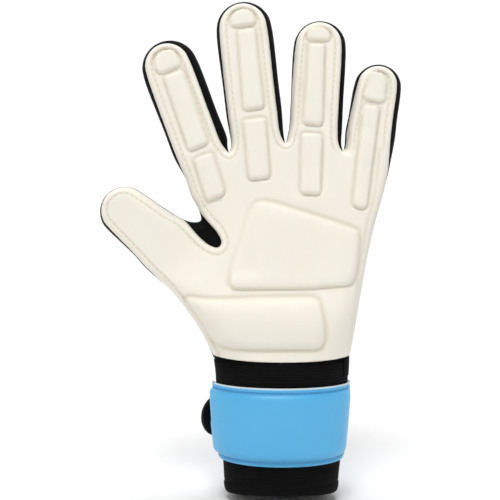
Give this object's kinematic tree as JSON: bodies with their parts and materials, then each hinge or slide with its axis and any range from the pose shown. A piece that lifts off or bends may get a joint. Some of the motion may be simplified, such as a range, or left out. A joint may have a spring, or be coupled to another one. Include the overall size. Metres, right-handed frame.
{
  "type": "goalkeeper glove",
  "caption": "Left-hand football goalkeeper glove, open handed: embossed latex palm, jointed fingers and thumb, elastic cuff and a wrist strap that peels open by a pull tab.",
  "frame": {"origin": "centre of the wrist opening, in the plane of the cuff's hem", "axes": "+Z from the wrist to the fingertips, -Y out of the palm face, -X towards the thumb"},
  "size_m": [0.1638, 0.0587, 0.2698],
  "materials": {
    "latex_foam": "matt cream latex foam, embossed",
    "lining_foam": "white brushed lining foam",
    "gusset_fabric": "black fine knit",
    "backhand_fabric": "black padded knit",
    "backhand_rubber": "black embossed pad",
    "cuff_knit": "black ribbed elastic knit",
    "strap_neoprene": "sky-blue coated neoprene, satin",
    "strap_binding": "pale woven binding",
    "hook_and_loop": "black hook-and-loop tape",
    "tab_rubber": "black moulded pull tab"
  },
  "bodies": {
    "hand": {"palm_latex": "latex_foam", "palm_lining": "lining_foam", "backhand_panel": "backhand_fabric", "backhand_pad": "backhand_rubber", "thumb_side_gusset": "gusset_fabric", "index_side_gusset": "gusset_fabric", "pinky_side_gusset": "gusset_fabric", "index_middle_gusset": "gusset_fabric", "middle_ring_gusset": "gusset_fabric", "ring_pinky_gusset": "gusset_fabric", "thumb_web_gusset": "gusset_fabric", "cuff_hem": "cuff_knit", "cuff_sleeve": "cuff_knit", "loop_patch": "hook_and_loop", "strap_front_band": "strap_neoprene", "strap_front_field": "strap_neoprene", "strap_front_binding": "strap_binding"},
    "thumb_base": {"thumb_base_latex": "latex_foam", "thumb_base_back": "backhand_fabric", "thumb_base_gusset_left": "gusset_fabric", "thumb_base_gusset_right": "gusset_fabric"},
    "thumb_tip": {"thumb_tip_latex": "latex_foam", "thumb_tip_back": "backhand_fabric", "thumb_tip_gusset": "gusset_fabric"},
    "index_base": {"index_base_latex": "latex_foam", "index_base_back": "backhand_fabric", "index_base_gusset_left": "gusset_fabric", "index_base_gusset_right": "gusset_fabric"},
    "index_tip": {"index_tip_latex": "latex_foam", "index_tip_back": "backhand_fabric", "index_tip_gusset": "gusset_fabric"},
    "middle_base": {"middle_base_latex": "latex_foam", "middle_base_back": "backhand_fabric", "middle_base_gusset_left": "gusset_fabric", "middle_base_gusset_right": "gusset_fabric"},
    "middle_tip": {"middle_tip_latex": "latex_foam", "middle_tip_back": "backhand_fabric", "middle_tip_gusset": "gusset_fabric"},
    "ring_base": {"ring_base_latex": "latex_foam", "ring_base_back": "backhand_fabric", "ring_base_gusset_left": "gusset_fabric", "ring_base_gusset_right": "gusset_fabric"},
    "ring_tip": {"ring_tip_latex": "latex_foam", "ring_tip_back": "backhand_fabric", "ring_tip_gusset": "gusset_fabric"},
    "pinky_base": {"pinky_base_latex": "latex_foam", "pinky_base_back": "backhand_fabric", "pinky_base_gusset_left": "gusset_fabric", "pinky_base_gusset_right": "gusset_fabric"},
    "pinky_tip": {"pinky_tip_latex": "latex_foam", "pinky_tip_back": "backhand_fabric", "pinky_tip_gusset": "gusset_fabric"},
    "strap_end": {"strap_end_band": "strap_neoprene", "strap_end_field": "strap_neoprene", "strap_end_binding": "strap_binding", "hook_patch": "hook_and_loop"},
    "pull_tab": {"pull_tab": "tab_rubber"}
  },
  "joints": [
    {"name": "thumb_base_bend", "type": "hinge", "parent": "hand", "child": "thumb_base", "pos_m": [-0.0635, -0.00615, 0.1385], "axis": [0.6266, 0, 0.7793], "range_deg": [0, 45], "stiffness_Nm_per_rad": 0.08},
    {"name": "thumb_tip_bend", "type": "hinge", "parent": "thumb_base", "child": "thumb_tip", "pos_m": [-0.07753, -0.00615, 0.14978], "axis": [0.6266, 0, 0.7793], "range_deg": [0, 37], "stiffness_Nm_per_rad": 0.08},
    {"name": "index_base_bend", "type": "hinge", "parent": "hand", "child": "index_base", "pos_m": [-0.0438, -0.00615, 0.1903], "axis": [0.9342, 0, 0.3567], "range_deg": [0, 55], "stiffness_Nm_per_rad": 0.08},
    {"name": "index_tip_bend", "type": "hinge", "parent": "index_base", "child": "index_tip", "pos_m": [-0.0545, -0.00615, 0.21833], "axis": [0.9342, 0, 0.3567], "range_deg": [0, 45], "stiffness_Nm_per_rad": 0.08},
    {"name": "middle_base_bend", "type": "hinge", "parent": "hand", "child": "middle_base", "pos_m": [-0.0147, -0.00615, 0.2095], "axis": [0.9928, 0, 0.1201], "range_deg": [0, 55], "stiffness_Nm_per_rad": 0.08},
    {"name": "middle_tip_bend", "type": "hinge", "parent": "middle_base", "child": "middle_tip", "pos_m": [-0.01818, -0.00615, 0.23829], "axis": [0.9928, 0, 0.1201], "range_deg": [0, 45], "stiffness_Nm_per_rad": 0.08},
    {"name": "ring_base_bend", "type": "hinge", "parent": "hand", "child": "ring_base", "pos_m": [0.0188, -0.00615, 0.2013], "axis": [0.9987, 0, -0.0506], "range_deg": [0, 55], "stiffness_Nm_per_rad": 0.08},
    {"name": "ring_tip_bend", "type": "hinge", "parent": "ring_base", "child": "ring_tip", "pos_m": [0.02022, -0.00615, 0.22926], "axis": [0.9987, 0, -0.0506], "range_deg": [0, 45], "stiffness_Nm_per_rad": 0.08},
    {"name": "pinky_base_bend", "type": "hinge", "parent": "hand", "child": "pinky_base", "pos_m": [0.0486, -0.00615, 0.1978], "axis": [0.9882, 0, -0.153], "range_deg": [0, 55], "stiffness_Nm_per_rad": 0.08},
    {"name": "pinky_tip_bend", "type": "hinge", "parent": "pinky_base", "child": "pinky_tip", "pos_m": [0.05146, -0.00615, 0.21628], "axis": [0.9882, 0, -0.153], "range_deg": [0, 45], "stiffness_Nm_per_rad": 0.08},
    {"name": "strap_peel", "type": "hinge", "parent": "hand", "child": "strap_end", "pos_m": [0.03604, 0.00917, 0.042], "axis": [-0.0947, -0.0241, -0.9952], "range_deg": [0, 110]},
    {"name": "tab_bend", "type": "hinge", "parent": "strap_end", "child": "pull_tab", "pos_m": [-0.03079, 0.01691, 0.042], "axis": [0, 0, -1], "range_deg": [0, 60], "stiffness_Nm_per_rad": 0.01}
  ],
  "couplings": [
    {"joint": "thumb_tip_bend", "follows": "thumb_base_bend", "ratio": 0.8},
    {"joint": "index_tip_bend", "follows": "index_base_bend", "ratio": 0.8},
    {"joint": "middle_tip_bend", "follows": "middle_base_bend", "ratio": 0.8},
    {"joint": "ring_tip_bend", "follows": "ring_base_bend", "ratio": 0.8},
    {"joint": "pinky_tip_bend", "follows": "pinky_base_bend", "ratio": 0.8}
  ]
}
